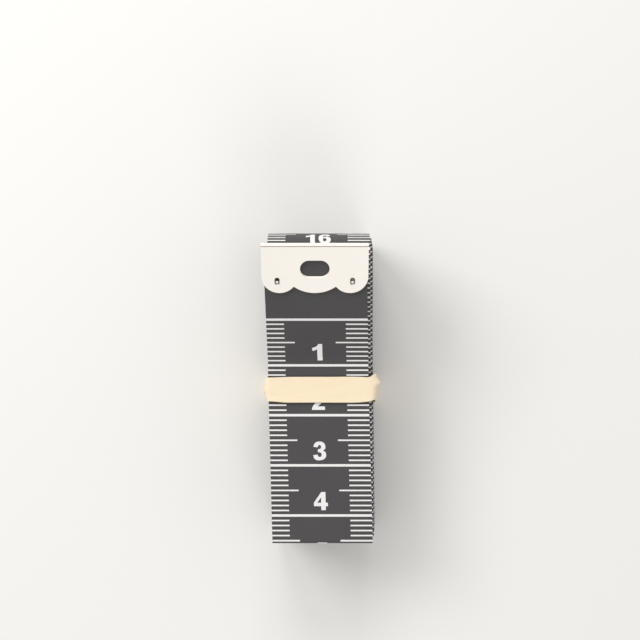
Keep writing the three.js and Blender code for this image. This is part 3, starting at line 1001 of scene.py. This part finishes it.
band = dict(
    thickness=0.36, around=300, across=24, frontGap=0.16, left=-10.85, right=10.73, backHeight=0.42,
    leftCorner=0.45, rightCorner=1.0, backCorner=1.0, sideBow=0.26, rounding=0.12,
    leftTurn=(9.9, 10.9), rightTurn=(9.2, 10.8),  # from the front to the sides, away from the middle
    pinchDepth=(1.6, 7.0),  # down the sides, where the pinch starts to go and has gone
    rise=0.75, foot=0.3, narrowed=0.16, narrowing=(6, 10.5), sag=0.09, sagEnds=(7.5, 10.3),
    sideDrop=1.5, dropFrom=2.0, dropTo=0.9, dropLeft=0.35,
    rolled=0.06, rollPower=6, wrinkle=0.05, wrinkleScale=(0.22, 3.2),
    waver=0.08, waverScale=0.12, waverPlace=4.2,
    # how far the sides stand out at shares of the band's width: slack left, a pinched fold right
    leftSwell=[
        (-0.5, -0.24), (-0.38, 0.05), (-0.15, 0.4), (-0.02, 0.52), (0.15, 0.42), (0.4, 0.15), (0.5, 0.0),
    ],
    rightSwell=[
        (-0.5, -0.25), (-0.4, -0.1), (-0.2, 0.1), (0.03, 0.24), (0.14, 0.45), (0.25, 1.0), (0.36, 0.62),
        (0.5, 0.2), (0.66, -0.15),
    ],
    leftKept=0.4, rightKept=0.3,  # share of it that is left where the pinch has gone
)


def cornerArc(x, z, radius, start, steps):
    angles = [math.radians(start - 90 * i / steps) for i in range(steps + 1)]
    return [(x + radius * math.cos(a), z + radius * math.sin(a)) for a in angles]


def bandLoop():
    # closed path seen along Y, clockwise from the middle of the front
    b = band
    top = hingeSpot.z + b["frontGap"] + b["thickness"] / 2
    low = b["backHeight"]
    corners = [
        (b["right"], top, b["rightCorner"], 90), (b["right"], low, b["backCorner"], 0),
        (b["left"], low, b["backCorner"], -90), (b["left"], top, b["leftCorner"], 180),
    ]
    path = [(0.0, top)]
    for x, z, radius, angle in corners:
        inwards = radius if z == low else -radius
        path += cornerArc(x - math.copysign(radius, x), z + inwards, radius, angle, 8)
    path.append((0.0, top))
    return [Vector((x, 0, z)) for x, z in path]


def profileAt(profile, share):
    for (a, low), (b, high) in zip(profile, profile[1:]):
        if share <= b:
            return mix(low, high, max(share - a, 0) / (b - a))
    return profile[-1][1]


def bandPoint(spot, normal, v, top, width):
    # v runs from -0.5 to 0.5 across the band, and spot is on its middle line
    b = band
    half = tape["width"] / 2
    depth = top - spot.z
    onRight = smoothstep(spot.x, *b["rightTurn"])
    onLeft = smoothstep(-spot.x, *b["leftTurn"])
    pinch = 1 - smoothstep(depth, *b["pinchDepth"])
    lift = onRight * (b["rise"] * max(2 * v, 0) ** 2 + b["foot"] * max(-2 * v, 0) ** 2) * pinch
    drop = b["sideDrop"] * smoothstep(depth, b["dropFrom"], b["dropTo"] * top)
    drop *= mix(b["dropLeft"], 1, smoothstep(spot.x, -half, half))
    pull = b["narrowed"] * smoothstep(abs(spot.x), *b["narrowing"]) * pinch * -2 * v
    sag = b["sag"] * max(-2 * v, 0) * (1 - smoothstep(abs(spot.x), *b["sagEnds"]))
    slow = b["waverScale"]
    waver = b["waver"] * noise.noise(Vector((spot.x * slow, b["waverPlace"] + v, spot.z * slow)))
    y = (bandLow.y + bandHigh.y) / 2 + v * width + lift - drop + pull - sag + waver
    along, across = b["wrinkleScale"]
    out = b["rolled"] * abs(2 * v) ** b["rollPower"]
    out += b["wrinkle"] * noise.noise(Vector((spot.x * along, v * across, spot.z * along)))
    swell = profileAt(b["rightSwell"], v + lift / width) * mix(b["rightKept"], 1, pinch)
    aside = onRight * (swell + b["sideBow"] * (1 - pinch))
    aside -= onLeft * profileAt(b["leftSwell"], v) * mix(b["leftKept"], 1, pinch)
    return (Vector((spot.x + aside, y, spot.z)) + normal * out) * mm


def makeBand():
    b = band
    path = bandLoop()
    stations = stationsOf(path)
    loop = stations[-1]
    width = bandHigh.y - bandLow.y
    nearby = 0.006  # share of the loop over which its direction is taken

    def spotOn(share):
        station = (share % 1.0) * loop
        i = min(bisect_right(stations, station), len(stations) - 1)
        t = (station - stations[i - 1]) / max(stations[i] - stations[i - 1], 1e-9)
        return path[i - 1].lerp(path[i], t)

    bm = bmesh.new()
    bmesh.ops.create_grid(bm, x_segments=b["around"], y_segments=b["across"], size=0.5)
    uv = bm.loops.layers.uv.new("loop")
    for face in bm.faces:
        for corner in face.loops:
            corner[uv].uv = ((corner.vert.co.x + 0.5) * loop, corner.vert.co.y * width)
    for vert in bm.verts:
        share, v = vert.co.x + 0.5, vert.co.y
        tangent = spotOn(share + nearby) - spotOn(share - nearby)
        normal = Vector((-tangent.z, 0, tangent.x)).normalized()
        vert.co = bandPoint(spotOn(share), normal, v, path[0].z, width)
    bmesh.ops.remove_doubles(bm, verts=bm.verts[:], dist=0.002 * mm)
    bmesh.ops.recalc_face_normals(bm, faces=bm.faces[:])
    piece = newPiece("elasticBand", bm, [elastic])
    thicken(piece, b["thickness"] * mm, even=False)
    roundEdges(piece, b["rounding"] * mm, fromAngle=50)
    return settle(piece, sharpAngle=60)


elasticBand = makeBand()
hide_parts("elastic_band")
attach(elasticBand, "band")
print("band made")

# Floor, light and camera

studio = dict(
    floorSize=1.6, world=0.5, lampSize=0.3,
    # metres and watts: where each lamp is, what it lights and its power
    lamps=[
        ("keyLight", (-0.38, 0.28, 0.5), (0, 0, 0.01), 1.75),
        ("fillLight", (0.1, -0.45, 0.5), (0, 0, 0.01), 0.76),
        ("backLight", (-0.06, 0.5, 0.4), (0, 0, 0.02), 1.35),
    ],
)


def paleFloor():
    bm = bmesh.new()
    bmesh.ops.create_grid(bm, x_segments=1, y_segments=1, size=studio["floorSize"] / 2)
    look = Look("paleFloor", {"Specular IOR Level": 0.1})
    tone = look.noise(look.objectPlace(), 6, 2)
    floor = newPiece("floor", bm, [look.finish(look.tones(tone, "floor"), 0.9, tone, 0.02, 0.0001)])


def softLight(name, spot, aim, power):
    lamp = bpy.data.lights.new(name, "AREA")
    lamp.energy = power
    lamp.size = studio["lampSize"]
    holder = bpy.data.objects.new(name, lamp)
    holder.location = spot
    holder.rotation_euler = (Vector(aim) - Vector(spot)).to_track_quat("-Z", "Y").to_euler()
    scene.collection.objects.link(holder)


paleFloor()
for lampFacts in studio["lamps"]:
    softLight(*lampFacts)
world = bpy.data.worlds.new("studio")
scene.world = world
world.use_nodes = True
background = world.node_tree.nodes["Background"]
background.inputs["Color"].default_value = (1, 1, 1, 1)
background.inputs["Strength"].default_value = studio["world"]

view = dict(aside=-0.3445, along=13.61, away=275.0, lens=77.6)
camera = bpy.data.cameras.new("photoCamera")
camera.lens = view["lens"]
camera.sensor_width = 36
cameraHolder = bpy.data.objects.new("photoCamera", camera)
cameraHolder.location = Vector((view["aside"], view["along"], hingeSpot.z + view["away"])) * mm
scene.collection.objects.link(cameraHolder)
scene.camera = cameraHolder
scene.view_settings.view_transform = "Standard"
print("floor, light and camera set")
